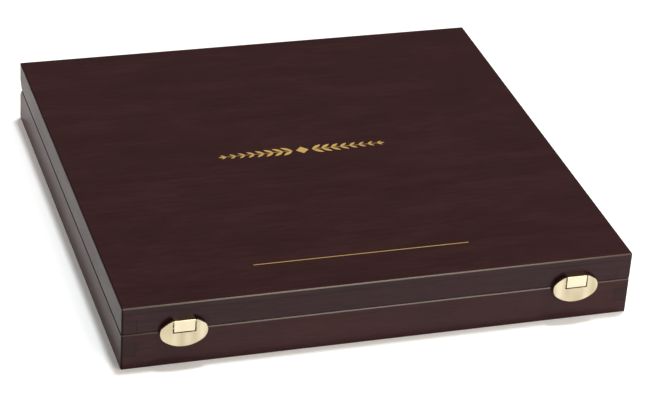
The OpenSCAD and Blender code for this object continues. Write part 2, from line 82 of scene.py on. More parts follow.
class Graph:
    """Adds nodes to one node tree and joins them."""

    def __init__(self, tree: NodeTree) -> None:
        """Keeps the node tree to add to."""
        self.tree = tree

    def add(self, kind: str, feeds: dict | None = None, **settings: Any) -> Node:
        """Adds one node.

        Args:
            kind: Blender's name for the node's type.
            feeds: Input name or index, and the value or socket that goes into it.
            settings: The node's own properties.

        Returns:
            The new node.
        """
        node = self.tree.nodes.new(kind)
        for name, value in settings.items():
            setattr(node, name, value)
        self.fill(node, feeds or {})
        return node

    def fill(self, node: Node, feeds: dict) -> None:
        """Feeds several inputs of a node, each given by its name or index."""
        for key, value in feeds.items():
            self.feed(node.inputs[key], value)

    def feed(self, socket: NodeSocket, value: Any) -> None:
        """Links an output to an input socket, or sets a plain value on it.

        Args:
            socket: The input socket.
            value: An output socket, a node for its first output, or a plain value.
        """
        if isinstance(value, Node):
            value = value.outputs[0]
        if isinstance(value, NodeSocket):
            self.tree.links.new(value, socket)
        else:
            socket.default_value = value

    def group(self, tree: NodeTree, **feeds: Any) -> Node:
        """Adds a shader node group with the given inputs."""
        return self.add("ShaderNodeGroup", feeds, node_tree=tree)

    def maths(self, operation: str, *values: Any) -> NodeSocket:
        """Adds a Math node with the given inputs and returns its result."""
        return self.add("ShaderNodeMath", dict(enumerate(values)), operation=operation).outputs[0]

    def vector(self, operation: str, *values: Any) -> NodeSocket:
        """Adds a Vector Math node and returns its result."""
        node = self.add("ShaderNodeVectorMath", dict(enumerate(values)), operation=operation)
        return node.outputs["Value" if operation in ("LENGTH", "DOT_PRODUCT") else "Vector"]

    def split(self, vector: Any) -> list[NodeSocket]:
        """Returns the sockets of a vector's x, y and z."""
        return list(self.add("ShaderNodeSeparateXYZ", {0: vector}).outputs)

    def joined(self, x: Any, y: Any, z: Any) -> NodeSocket:
        """Returns the socket of a vector made of three numbers."""
        return self.add("ShaderNodeCombineXYZ", {0: x, 1: y, 2: z}).outputs[0]

    def noise(self, vector: Any, cell: Triple, detail: float = 2.0) -> NodeSocket:
        """Adds a noise whose cells have the given size along each axis.

        Args:
            vector: Where the noise is read.
            cell: Size of a cell along x, y and z, in the vector's units.
            detail: Number of finer layers.

        Returns:
            The noise, about 0.3 to 0.7.
        """
        feeds = {"Vector": self.vector("DIVIDE", vector, cell), "Scale": 1.0, "Detail": detail}
        return self.add("ShaderNodeTexNoise", feeds).outputs[0]

    def remap(self, value: Any, low: float, high: float, start: float = 0.0,
              end: float = 1.0) -> NodeSocket:
        """Maps the range from low to high onto start to end, clamped."""
        feeds = {0: value, 1: low, 2: high, 3: start, 4: end}
        return self.add("ShaderNodeMapRange", feeds).outputs[0]

    def blend(self, share: Any, first: Any, second: Any, mode: str = "MIX") -> NodeSocket:
        """Mixes two colours, with the given share of the second."""
        feeds = {0: share, 6: first, 7: second}
        return self.add("ShaderNodeMix", feeds, data_type="RGBA", blend_type=mode).outputs[2]

    def bump(self, height: Any, strength: float, distance: float) -> NodeSocket:
        """Returns the normal bent by a relief, distance metres deep where height is 1."""
        feeds = {"Height": height, "Strength": strength, "Distance": distance}
        return self.add("ShaderNodeBump", feeds).outputs[0]

    def moved(self, geometry: Any, **feeds: Any) -> NodeSocket:
        """Moves, turns or scales a geometry by Translation, Rotation and Scale."""
        return self.add("GeometryNodeTransform", {"Geometry": geometry, **feeds}).outputs[0]

    def together(self, *parts: Any) -> NodeSocket:
        """Joins geometries, in the given order.

        Args:
            parts: The sockets of the geometries.

        Returns:
            The socket of the whole.
        """
        node = self.add("GeometryNodeJoinGeometry")
        for part in parts:
            self.feed(node.inputs[0], part)
        return node.outputs[0]


def rgba(colour: Rgb) -> tuple[float, float, float, float]:
    """Returns a colour with full alpha."""
    return (*colour, 1.0)


def new_group(name: str, kind: str, inputs: dict[str, Any],
              outputs: dict[str, str]) -> tuple[Graph, Any, Any]:
    """Makes an empty node group with named sockets.

    Args:
        name: The group's name.
        kind: ShaderNodeTree or GeometryNodeTree.
        inputs: Input name and its default: a number, a vector, or a socket type's name.
        outputs: Output name and its socket type.

    Returns:
        The group's graph, the sockets that bring its inputs and the ones that take its outputs.
    """
    tree = bpy.data.node_groups.new(name, kind)
    types = {float: "NodeSocketFloat", int: "NodeSocketInt", tuple: "NodeSocketVector"}
    for label, default in inputs.items():
        socket_type = default if isinstance(default, str) else types[type(default)]
        socket = tree.interface.new_socket(label, in_out="INPUT", socket_type=socket_type)
        if not isinstance(default, str):
            socket.default_value = default
    for label, socket_type in outputs.items():
        tree.interface.new_socket(label, in_out="OUTPUT", socket_type=socket_type)
    graph = Graph(tree)
    inlet = graph.add("NodeGroupInput").outputs
    outlet = graph.add("NodeGroupOutput").inputs
    return graph, inlet, outlet


# ---- Shared surface effects


class Effects:
    """Shader node groups that the finishes share.

    Cells are in millimetres. Those of years, lines, pile and drift count rings, pitches or grains.
    """

    SWAY_CELL = (150.0, 55.0, 55.0)
    FIBRE_CELL = (15.0, 1.5, 1.5)
    PORE_CELL = (5.5, 0.5, 0.5)
    STAIN_CELL = (60.0, 24.0, 24.0)
    BAND_CELL = (7.0, 7.0, 30.0)
    YEAR_CELL = (1.7, 1.0, 1.0)
    LINE_CELL = (26.0, 1.0, 1.0)
    PILE_CELL = (1.0, 1.0, 1.0)
    DRIFT_CELL = (55.0, 55.0, 55.0)
    PORE_SPAN = (0.58, 0.7)
    STAIN_SPAN = (0.32, 0.68)
    EDGE_SPAN = (0.995, 0.85)
    LATE_WOOD_SHARE = 0.45
    LATE_WOOD_POWER = 3.0

    def __init__(self) -> None:
        """Builds each group once."""
        self.sawn_board = self._sawn_board()
        self.edge_mask = self._edge_rub()
        self.fine_lines = self._fine_lines()
        self.speckle = self._speckle()

    def _sawn_board(self) -> NodeTree:
        """Builds the figure of a board cut from a log that lies along x and tapers.

        Returns:
            The node group: Figure, Fibre, Pores and Stain, each from 0 to 1.
        """
        inputs = {"Vector": (0.0, 0.0, 0.0), "Ring": 6.0, "Taper": 0.1, "Warp": 10.0}
        outputs = dict.fromkeys(("Figure", "Fibre", "Pores", "Stain"), "NodeSocketFloat")
        graph, inlet, outlet = new_group("sawn_board", "ShaderNodeTree", inputs, outputs)
        place = inlet["Vector"]
        x, y, z = graph.split(place)
        sway = graph.maths("SUBTRACT", graph.noise(place, self.SWAY_CELL), 0.5)
        warp = graph.maths("MULTIPLY", sway, inlet["Warp"])
        depth = graph.maths("MULTIPLY_ADD", x, inlet["Taper"], z)
        radius = graph.vector("LENGTH", graph.joined(y, depth, 0.0))
        rings = graph.maths("DIVIDE", graph.maths("ADD", radius, warp), inlet["Ring"])
        late = graph.maths("POWER", graph.maths("FRACT", rings), self.LATE_WOOD_POWER)
        years = graph.noise(graph.joined(rings, 0.0, 0.0), self.YEAR_CELL, 1.0)
        tone = graph.maths("MULTIPLY", graph.remap(years, *NOISE_SPAN), 1.0 - self.LATE_WOOD_SHARE)
        figure = graph.maths("MULTIPLY_ADD", late, self.LATE_WOOD_SHARE, tone)
        fibre = graph.remap(graph.noise(place, self.FIBRE_CELL, 4.0), *NOISE_SPAN)
        pores = graph.remap(graph.noise(place, self.PORE_CELL, 1.0), *self.PORE_SPAN)
        stain = graph.remap(graph.noise(place, self.STAIN_CELL, 3.0), *self.STAIN_SPAN)
        for label, socket in zip(outputs, (figure, fibre, pores, stain)):
            graph.feed(outlet[label], socket)
        return graph.tree

    def _edge_rub(self) -> NodeTree:
        """Builds a mask of sharp edges, for stain and wear and for painted shade and reflection.

        Returns:
            The node group: Edge, from 0 on the flat to 1 on an edge.
        """
        graph, inlet, outlet = new_group("edge_mask", "ShaderNodeTree", {"Radius": 0.4 * MM},
                                         {"Edge": "NodeSocketFloat"})
        rounded = graph.add("ShaderNodeBevel", {"Radius": inlet["Radius"]}, samples=4)
        flat = graph.add("ShaderNodeNewGeometry").outputs["Normal"]
        alike = graph.vector("DOT_PRODUCT", rounded, flat)
        graph.feed(outlet["Edge"], graph.remap(alike, *self.EDGE_SPAN))
        return graph.tree

    def _fine_lines(self) -> NodeTree:
        """Builds the fine lines that polishing leaves on metal.

        Returns:
            The node group: Lines and Cloud, each from 0 to 1.
        """
        inputs = {"Vector": (0.0, 0.0, 0.0), "Pitch": 0.25}
        outputs = {"Lines": "NodeSocketFloat", "Cloud": "NodeSocketFloat"}
        graph, inlet, outlet = new_group("fine_lines", "ShaderNodeTree", inputs, outputs)
        pitch = graph.vector("DIVIDE", inlet["Vector"], graph.joined(*[inlet["Pitch"]] * 3))
        lines = graph.noise(pitch, self.LINE_CELL)
        graph.feed(outlet["Lines"], graph.remap(lines, *NOISE_SPAN))
        # Cells taller than wide give upright soft bands: uneven tone, and also a painted reflection
        # of upright bands.
        bands = graph.noise(inlet["Vector"], self.BAND_CELL, 0.0)
        graph.feed(outlet["Cloud"], graph.remap(bands, *NOISE_SPAN))
        return graph.tree

    def _speckle(self) -> NodeTree:
        """Builds the short pile of flock and the unevenness of foil.

        Returns:
            The node group: Pile and Drift, each from 0 to 1.
        """
        inputs = {"Vector": (0.0, 0.0, 0.0), "Grain": 0.3}
        outputs = {"Pile": "NodeSocketFloat", "Drift": "NodeSocketFloat"}
        graph, inlet, outlet = new_group("speckle", "ShaderNodeTree", inputs, outputs)
        scaled = graph.vector("DIVIDE", inlet["Vector"], graph.joined(*[inlet["Grain"]] * 3))
        pile = graph.noise(scaled, self.PILE_CELL, 3.0)
        graph.feed(outlet["Pile"], graph.remap(pile, *NOISE_SPAN))
        drift = graph.noise(scaled, self.DRIFT_CELL)
        graph.feed(outlet["Drift"], graph.remap(drift, *NOISE_SPAN))
        return graph.tree


def new_material(name: str) -> tuple[Material, Graph, Node]:
    """Makes a material with one Principled shader.

    Args:
        name: The material's name.

    Returns:
        The material, its graph and the shader node.
    """
    material = bpy.data.materials.new(name)
    material.use_nodes = True
    graph = Graph(material.node_tree)
    return material, graph, material.node_tree.nodes["Principled BSDF"]


def in_millimetres(graph: Graph, turn: float = 0.0,
                   shift: Triple = (0.0, 0.0, 0.0)) -> NodeSocket:
    """Reads the piece's own coordinates in millimetres.

    Args:
        graph: The material's graph.
        turn: Turn about z in degrees, applied after the scaling.
        shift: Move in millimetres, applied last.

    Returns:
        The vector's socket.
    """
    place = graph.add("ShaderNodeTexCoord").outputs["Object"]
    feeds = {"Vector": place, "Location": shift, "Rotation": (0.0, 0.0, math.radians(turn)),
             "Scale": (1.0 / MM,) * 3}
    return graph.add("ShaderNodeMapping", feeds).outputs[0]


@dataclass(frozen=True)
class WoodFinish:
    """Dark stain under satin lacquer: darker at the edges, glossy along the front ones.

    The darker edges are partly stain and partly painted shade. The front ones carry a painted
    highlight.

    A span is a range of one part of the surface's direction, over which a mask goes from 0 to 1.
    """

    END_GRAIN_SPAN = (0.75, 0.95)
    ROUNDED_SPAN = (0.998, 0.96)
    NOT_REAR_SPAN = (0.3, 0.05)
    CREST_SPAN = (0.05, 0.3)
    ROUNDED_SHARE = 0.9
    FIBRE_RELIEF = 0.25

    name: str
    grain: GrainAxis
    pith: Triple
    dark: Rgb
    warm: Rgb
    ring: float = 6.0
    taper: float = 0.08
    warp: float = 9.0
    fibre_share: float = 0.6
    pore_share: float = 0.45
    blotch: float = 0.12
    end_grain: Rgb = (0.036, 0.0125, 0.0155)
    # Colour of the darker edges: partly stain gathered there, partly painted shade.
    pooled_stain: Rgb = (0.012, 0.006, 0.006)
    pooled_share: float = 0.85
    stain_reach: float = 0.8 * MM
    # Lighter colour along the front edges: a painted highlight.
    rubbed: Rgb = (0.085, 0.055, 0.04)
    lacquer: float = 0.32
    pooled_lacquer: float = 0.05
    edge_lacquer: float = 1.0
    gloss: float = 0.16
    roughness: tuple[float, float] = (0.5, 0.62)

    def build(self, effects: Effects) -> Material:
        """Makes the material.

        Args:
            effects: The shared node groups.

        Returns:
            The material.
        """
        material, graph, shader = new_material(self.name)
        place = in_millimetres(graph, self.grain.value, self.pith)
        board = graph.group(effects.sawn_board, Vector=place, Ring=self.ring, Taper=self.taper,
                            Warp=self.warp)
        figure, fibre, pores, stain = board.outputs
        figure = graph.maths("MULTIPLY", figure, 1.0 - self.fibre_share)
        tone = graph.maths("MULTIPLY_ADD", fibre, self.fibre_share, figure)
        colour = graph.blend(tone, rgba(self.dark), rgba(self.warm))
        blotch = graph.remap(stain, 0.0, 1.0, 1.0 - self.blotch, 1.0 + self.blotch)
        colour = graph.blend(1.0, colour, graph.joined(blotch, blotch, blotch), "MULTIPLY")
        colour = graph.blend(graph.maths("MULTIPLY", pores, self.pore_share), colour, rgba(self.dark))
        normal = graph.add("ShaderNodeTexCoord").outputs["Normal"]
        lengthwise = (1.0, 0.0, 0.0) if self.grain is GrainAxis.ALONG_X else (0.0, 1.0, 0.0)
        across = graph.maths("ABSOLUTE", graph.vector("DOT_PRODUCT", normal, lengthwise))
        colour = graph.blend(graph.remap(across, *self.END_GRAIN_SPAN), colour, rgba(self.end_grain))
        x, y, z = graph.split(graph.vector("ABSOLUTE", normal))
        square = graph.maths("MAXIMUM", graph.maths("MAXIMUM", x, y), z)
        # Rounded edges, except rear-facing ones, and sharp edges within reach are darkened: stain and
        # painted shade.
        not_rear = graph.remap(graph.split(normal)[1], *self.NOT_REAR_SPAN)
        rounded = graph.maths("MULTIPLY", graph.remap(square, *self.ROUNDED_SPAN), not_rear)
        edge = graph.group(effects.edge_mask, Radius=self.stain_reach)
        darkened_edge = graph.maths("MAXIMUM", graph.maths("MULTIPLY", rounded, self.ROUNDED_SHARE), edge)
        share = graph.maths("MULTIPLY", darkened_edge, self.pooled_share)
        colour = graph.blend(share, colour, rgba(self.pooled_stain))
        # Along the front edges the colour is lightened, a painted highlight, and the lacquer is full.
        slope = graph.remap(graph.maths("MULTIPLY", y, z), *self.CREST_SPAN)
        crest = graph.maths("MULTIPLY", rounded, slope)
        colour = graph.blend(crest, colour, rgba(self.rubbed))
        bare = graph.remap(darkened_edge, 0.0, 1.0, self.lacquer, self.pooled_lacquer)
        relief = graph.maths("SUBTRACT", graph.maths("MULTIPLY", fibre, self.FIBRE_RELIEF), pores)
        graph.fill(shader, {
            "Base Color": colour, "Roughness": graph.remap(stain, 0.0, 1.0, *self.roughness),
            "Specular IOR Level": 0.04, "Coat Roughness": self.gloss, "Coat IOR": 1.5,
            "Coat Weight": graph.remap(crest, 0.0, 1.0, bare, self.edge_lacquer),
            "Normal": graph.bump(relief, strength=0.12, distance=0.06 * MM)})
        return material


@dataclass(frozen=True)
class MetalFinish:
    """Polished metal with fine lines, soft bands and edges of another tone."""

    name: str
    face: Rgb
    deep: Rgb
    edge: Rgb
    smooth: float
    rough: float
    rim: float = 0.4 * MM
    edge_share: float = 0.7

    def build(self, effects: Effects) -> Material:
        """Makes the material.

        Args:
            effects: The shared node groups.

        Returns:
            The material.
        """
        material, graph, shader = new_material(self.name)
        streak, cloud = graph.group(effects.fine_lines, Vector=in_millimetres(graph)).outputs
        # The deeper tone in upright bands: uneven tone, and also a painted reflection.
        colour = graph.blend(cloud, rgba(self.face), rgba(self.deep))
        # Edge tone over the rim: the lighter one on hinges and screws is wear; the dark one on the
        # latch plates is a painted reflection on the rounded rim.
        rim_mask = graph.group(effects.edge_mask, Radius=self.rim)
        share = graph.maths("MULTIPLY", rim_mask, self.edge_share)
        graph.fill(shader, {
            "Base Color": graph.blend(share, colour, rgba(self.edge)), "Metallic": 1.0,
            "Roughness": graph.remap(streak, 0.0, 1.0, self.smooth, self.rough),
            "Normal": graph.bump(streak, strength=0.08, distance=0.03 * MM)})
        return material


@dataclass(frozen=True)
class FlockFinish:
    """Short matt pile glued on moulded foam."""

    name: str
    colour: Rgb
    tip: Rgb
    uneven: float = 0.2
    roughness: tuple[float, float] = (0.9, 1.0)

    def build(self, effects: Effects) -> Material:
        """Makes the material.

        Args:
            effects: The shared node groups.

        Returns:
            The material.
        """
        material, graph, shader = new_material(self.name)
        pile, drift = graph.group(effects.speckle, Vector=in_millimetres(graph)).outputs
        tone = graph.blend(pile, rgba(self.colour), rgba(self.tip))
        shade = graph.remap(drift, 0.0, 1.0, 1.0 - self.uneven, 1.0 + self.uneven)
        shade = graph.joined(shade, shade, shade)
        graph.fill(shader, {
            "Base Color": graph.blend(1.0, tone, shade, "MULTIPLY"),
            "Roughness": graph.remap(drift, 0.0, 1.0, *self.roughness),
            "Sheen Weight": 0.25, "Sheen Roughness": 0.5,
            "Normal": graph.bump(pile, strength=0.6, distance=0.2 * MM)})
        return material


@dataclass(frozen=True)
class ClothFinish:
    """Close plain weave with a soft sheen."""

    name: str
    colour: Rgb
    shade: Rgb
    thread: float = 0.55
    roughness: tuple[float, float] = (0.55, 0.7)

    def build(self, effects: Effects) -> Material:
        """Makes the material.

        Args:
            effects: The shared node groups.

        Returns:
            The material.
        """
        material, graph, shader = new_material(self.name)
        place = in_millimetres(graph)
        x, y, _ = graph.split(place)
        turns = 2.0 * math.pi / self.thread
        warp = graph.maths("SINE", graph.maths("MULTIPLY", x, turns))
        weft = graph.maths("SINE", graph.maths("MULTIPLY", y, turns))
        weave = graph.remap(graph.maths("MULTIPLY", warp, weft), -1.0, 1.0)
        pile, drift = graph.group(effects.speckle, Vector=place).outputs
        tone = graph.maths("MULTIPLY_ADD", weave, 0.5, graph.maths("MULTIPLY", pile, 0.5))
        graph.fill(shader, {
            "Base Color": graph.blend(tone, rgba(self.shade), rgba(self.colour)),
            "Roughness": graph.remap(drift, 0.0, 1.0, *self.roughness),
            "Sheen Weight": 0.3, "Sheen Roughness": 0.4,
            "Normal": graph.bump(weave, strength=0.35, distance=0.1 * MM)})
        return material


@dataclass(frozen=True)
class FoilFinish:
    """Metal foil stamped into the lacquer, a little uneven."""

    name: str
    bright: Rgb
    dull: Rgb
    roughness: tuple[float, float] = (0.4, 0.55)

    def build(self, effects: Effects) -> Material:
        """Makes the material.

        Args:
            effects: The shared node groups.

        Returns:
            The material.
        """
        material, graph, shader = new_material(self.name)
        uneven = graph.group(effects.speckle, Vector=in_millimetres(graph)).outputs["Pile"]
        graph.fill(shader, {
            "Base Color": graph.blend(uneven, rgba(self.bright), rgba(self.dull)),
            "Metallic": 0.4, "Roughness": graph.remap(uneven, 0.0, 1.0, *self.roughness)})
        return material


# ---- Mesh helpers


def new_object(name: str, data: Any) -> Object:
    """Links a new object at the origin.

    Args:
        name: The object's name.
        data: Its mesh, lamp or camera.

    Returns:
        The object.
    """
    piece = bpy.data.objects.new(name, data)
    bpy.context.scene.collection.objects.link(piece)
    return piece


def shell_object(name: str, shell: bmesh.types.BMesh) -> Object:
    """Makes a smooth object of a shell.

    Args:
        name: The object's name.
        shell: The shell, which is freed.

    Returns:
        The object.
    """
    for face in shell.faces:
        face.smooth = True
    mesh = bpy.data.meshes.new(name)
    shell.to_mesh(mesh)
    shell.free()
    return new_object(name, mesh)


def seat(piece: Object, body: str, material: Material,
         stands_for: tuple[str, ...] = ()) -> None:
    """Gives a piece its finish and the body that it rides on.

    Args:
        piece: The finished piece.
        body: Name of the body that carries it.
        material: The finish.
        stands_for: Names of the solids that the piece shows in their place.
    """
    piece.data.materials.clear()
    piece.data.materials.append(material)
    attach(piece, body)
    if stands_for:
        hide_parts(*stands_for)
    LOG.info("%s: %d faces on %s", piece.name, len(piece.data.polygons), body)


def dress(node: str, material: Material) -> None:
    """Gives a part that is shown as it is its finish.

    Args:
        node: The part's name.
        material: The finish.
    """
    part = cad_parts[node]
    part.data.materials.clear()
    part.data.materials.append(material)
    LOG.info("%s: dressed with %s", node, material.name)


def softened_copy(node: str, name: str, edge: float) -> Object:
    """Copies a part as one clean shell and rounds its edges.

    Args:
        node: The part's name.
        name: Name of the copy.
        edge: Width of the rounding in metres.

    Returns:
        The copy, with a live Bevel modifier.
    """
    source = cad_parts[node].data
    shell = bmesh.new()
    corners = [shell.verts.new(v.co) for v in source.vertices]
    for polygon in source.polygons:
        shell.faces.new([corners[i] for i in polygon.vertices])
    bmesh.ops.remove_doubles(shell, verts=shell.verts, dist=WELD)
    bmesh.ops.dissolve_limit(shell, angle_limit=FLAT_ANGLE, verts=shell.verts, edges=shell.edges)
    for line in shell.edges:
        line.smooth = line.calc_face_angle(math.pi) < SHARP_ANGLE
    piece = shell_object(name, shell)
    bevel = piece.modifiers.new("round_edges", "BEVEL")
    bevel.width = edge
    bevel.segments = 2
    bevel.limit_method = "ANGLE"
    bevel.angle_limit = SHARP_ANGLE
    return piece


def grow(graph: Graph, name: str, values: dict[str, Any], place: Matrix) -> Object:
    """Runs a Geometry Nodes tree once and keeps its mesh.

    Args:
        graph: Graph of the finished tree.
        name: Name of the piece.
        values: The tree's named inputs.
        place: Where the result goes in the frame.

    Returns:
        The piece, with no modifier left.
    """
    piece = new_object(name, bpy.data.meshes.new(name))
    modifier = piece.modifiers.new("grow", "NODES")
    modifier.node_group = graph.tree
    for item in graph.tree.interface.items_tree:
        if item.in_out == "INPUT" and item.name in values:
            modifier[item.identifier] = values[item.name]
    evaluated = piece.evaluated_get(bpy.context.evaluated_depsgraph_get())
    mesh = bpy.data.meshes.new_from_object(evaluated)
    piece.modifiers.clear()
    mesh.transform(place)
    mesh.name = name
    piece.data = mesh
    return piece


def end_tree(graph: Graph, outlet: Any, geometry: Any, material: Any) -> None:
    """Ends a Geometry Nodes tree: makes its instances real and sets their material.

    Args:
        graph: The tree's graph.
        outlet: The tree's outputs.
        geometry: The geometry so far.
        material: The socket that brings the material.
    """
    real = graph.add("GeometryNodeRealizeInstances", {"Geometry": geometry})
    feeds = {"Geometry": real, "Material": material}
    graph.feed(outlet["Geometry"], graph.add("GeometryNodeSetMaterial", feeds))


# ---- Gilding on the lid


@dataclass
class Gilding:
    """Gilt stamping on the lid's top: a long rule and a plain spray of leaves."""

    rule_length: float = 166.6 * MM
    rule_width: float = 0.75 * MM
    rule_shift: float = -5.0 * MM
    rule_from_front: float = 39.5 * MM
    spray_from_front: float = 198.0 * MM
    spray_reach: float = 62.0 * MM
    spray_gap: float = 8.0 * MM
    leaf_length: float = 10.5 * MM
    leaf_width_share: float = 0.3
    leaf_tip_share: float = 0.25
    leaf_pairs: int = 8
    leaf_lean: float = 0.62
    leaf_shrink: float = 0.6
    tip_scale: float = 0.6
    stem_width: float = 0.45 * MM
    lozenge_radius: float = 5.2 * MM
    foil: float = 0.03 * MM
    foil_weld: float = 0.001 * MM

    def _closed(self, graph: Graph, flat: Any, thickness: Any) -> NodeSocket:
        """Gives flat faces a thickness as closed shells, merged where they meet.

        Args:
            graph: The tree's graph.
            flat: The flat geometry.
            thickness: The foil's thickness.

        Returns:
            The closed geometry's socket.
        """
        real = graph.add("GeometryNodeRealizeInstances", {"Geometry": flat})
        raised = graph.add("GeometryNodeExtrudeMesh",
                           {"Mesh": real, "Offset Scale": thickness, "Individual": False})
        under = graph.add("GeometryNodeFlipFaces", {"Mesh": real})
        feeds = {"Geometry": graph.together(raised, under), "Distance": self.foil_weld}
        return graph.add("GeometryNodeMergeByDistance", feeds).outputs[0]

    def _leaf(self, graph: Graph, length: Any) -> NodeSocket:
        """Draws one flat pointed leaf from the origin along x.

        Args:
            graph: The tree's graph.
            length: The leaf's length.

        Returns:
            The leaf's socket.
        """
        disc = graph.add("GeometryNodeMeshCircle", {"Vertices": 28, "Radius": 1.0}, fill_type="NGON")
        x, y, _ = graph.split(graph.add("GeometryNodeInputPosition"))
        swell = graph.maths("SUBTRACT", 1.0, graph.maths("MULTIPLY", x, x))
        width = graph.maths("MULTIPLY_ADD", swell, 1.0 - self.leaf_tip_share, self.leaf_tip_share)
        belly = graph.maths("MULTIPLY", graph.maths("MULTIPLY", y, self.leaf_width_share), width)
        shaped = graph.joined(graph.maths("ADD", x, 1.0), belly, 0.0)
        placed = graph.add("GeometryNodeSetPosition", {"Geometry": disc, "Position": shaped})
        half = graph.maths("MULTIPLY", length, 0.5)
        return graph.moved(placed, Scale=graph.joined(half, half, half))

    def _spray_tree(self) -> Graph:
        """Builds the tree of the spray: two stems of leaf pairs and a lozenge between them.

        Returns:
            The tree's graph.
        """
        inputs = {"Reach": self.spray_reach, "Gap": self.spray_gap, "Leaf": self.leaf_length,
                  "Pairs": self.leaf_pairs, "Foil": self.foil, "Material": "NodeSocketMaterial"}
        graph, inlet, outlet = new_group("gilt_spray", "GeometryNodeTree", inputs,
                                         {"Geometry": "NodeSocketGeometry"})
        line = graph.add("GeometryNodeCurvePrimitiveLine",
                         {"Start": graph.joined(inlet["Gap"], 0.0, 0.0),
                          "End": graph.joined(inlet["Reach"], 0.0, 0.0)})
        points = graph.add("GeometryNodeCurveToPoints",
                           {"Curve": line, "Count": inlet["Pairs"]}, mode="COUNT")
        index = graph.add("GeometryNodeInputIndex")
        share = graph.maths("DIVIDE", index, inlet["Pairs"])
        size = graph.maths("MULTIPLY_ADD", share, -self.leaf_shrink, 1.0)
        leaf = self._leaf(graph, inlet["Leaf"])
        rows = []
        for lean in (self.leaf_lean, -self.leaf_lean):
            feeds = {"Points": points, "Instance": leaf, "Rotation": (0.0, 0.0, lean),
                     "Scale": graph.joined(size, size, size)}
            rows.append(graph.add("GeometryNodeInstanceOnPoints", feeds))
        tip = graph.moved(leaf, Scale=(self.tip_scale, self.tip_scale, 1.0),
                          Translation=graph.joined(inlet["Reach"], 0.0, 0.0))
        stem_length = graph.maths("SUBTRACT", inlet["Reach"], inlet["Gap"])
        stem = graph.add("GeometryNodeMeshGrid", {"Size X": stem_length, "Size Y": self.stem_width,
                                                  "Vertices X": 2, "Vertices Y": 2})
        middle = graph.maths("MULTIPLY", graph.maths("ADD", inlet["Reach"], inlet["Gap"]), 0.5)
        stem = graph.moved(stem, Translation=graph.joined(middle, 0.0, 0.0))
        half_spray = graph.together(*rows, tip, stem)
        other_half = graph.moved(half_spray, Rotation=(0.0, 0.0, math.pi))
        lozenge = graph.add("GeometryNodeMeshCircle", {"Vertices": 4, "Radius": self.lozenge_radius},
                            fill_type="NGON")
        whole = graph.together(half_spray, other_half, lozenge)
        end_tree(graph, outlet, self._closed(graph, whole, inlet["Foil"]), inlet["Material"])
        return graph

    def _rule_tree(self) -> Graph:
        """Builds the tree of the rule: one long foil stripe with round ends.

        Returns:
            The tree's graph.
        """
        inputs = {"Length": self.rule_length, "Width": self.rule_width, "Foil": self.foil,
                  "Material": "NodeSocketMaterial"}
        graph, inlet, outlet = new_group("gilt_rule", "GeometryNodeTree", inputs,
                                         {"Geometry": "NodeSocketGeometry"})
        disc = graph.add("GeometryNodeMeshCircle", {"Vertices": 32, "Radius": 1.0}, fill_type="NGON")
        x, y, _ = graph.split(graph.add("GeometryNodeInputPosition"))
        half = graph.maths("MULTIPLY", inlet["Width"], 0.5)
        run = graph.maths("SUBTRACT", graph.maths("MULTIPLY", inlet["Length"], 0.5), half)
        end = graph.maths("MULTIPLY", graph.maths("SIGN", x), run)
        along = graph.maths("MULTIPLY_ADD", x, half, end)
        shaped = graph.joined(along, graph.maths("MULTIPLY", y, half), 0.0)
        placed = graph.add("GeometryNodeSetPosition", {"Geometry": disc, "Position": shaped})
        end_tree(graph, outlet, self._closed(graph, placed, inlet["Foil"]), inlet["Material"])
        return graph

    def build(self, material: Material) -> None:
        """Makes the rule and the spray on the lid's top.

        Args:
            material: The foil's finish.
        """
        low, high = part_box("lid_panel")
        top = high.z + WELD
        rule_place = Matrix.Translation((self.rule_shift, low.y + self.rule_from_front, top))
        spray_place = Matrix.Translation((self.rule_shift, low.y + self.spray_from_front, top))
        values = {"Material": material}
        rule = grow(self._rule_tree(), "gilt_rule", values, rule_place)
        spray = grow(self._spray_tree(), "gilt_spray", values, spray_place)
        for piece in (rule, spray):
            seat(piece, "lid", material)


# ---- Sub-assemblies


@dataclass
class Carcass:
    """The wooden box and lid: rails, panels and their finishes."""

    effects: Effects

    def _rail_finish(self, part: str, grain: GrainAxis, pith: Triple) -> Material:
        """Makes the finish of one pair of rails.

        Args:
            part: Name of the half, base or lid.
            grain: Direction of the rails.
            pith: The log's middle in millimetres.

        Returns:
            The material.
        """
        tones = {"base": ((0.032, 0.007, 0.008), (0.053, 0.013, 0.014), (0.029, 0.0082, 0.0092)),
                 "lid": ((0.028, 0.0085, 0.0115), (0.045, 0.015, 0.0185), (0.034, 0.0115, 0.0145))}
        dark, warm, end_grain = tones[part]
        name = f"{part}_stain_{grain.name.lower()}"
        return WoodFinish(name, grain, pith, dark, warm, ring=5.0,
                          end_grain=end_grain).build(self.effects)

    def build(self) -> None:
        """Dresses every wooden part."""
        for part, shift in (("base", 40.0), ("lid", -35.0)):
            long_rails = self._rail_finish(part, GrainAxis.ALONG_X, (shift, 230.0, 12.0))
            side_rails = self._rail_finish(part, GrainAxis.ALONG_Y, (-shift, 225.0, -8.0))
            for side in ("front", "back"):
                dress(f"{part}_rail_{side}", long_rails)
            for side in Side:
                dress(f"{part}_rail_{side.value}", side_rails)
        veneer = WoodFinish("veneer_stain", GrainAxis.ALONG_X, (-70.0, -60.0, -30.0),
                            (0.028, 0.0108, 0.0118), (0.043, 0.0175, 0.0185), ring=7.0, taper=0.14)
        dress("lid_panel", veneer.build(self.effects))
        board = WoodFinish("panel_stain", GrainAxis.ALONG_X, (60.0, 40.0, 60.0),
                           (0.016, 0.006, 0.005), (0.034, 0.013, 0.011), ring=9.0, lacquer=0.2,
                           gloss=0.5)
        dress("base_panel", board.build(self.effects))


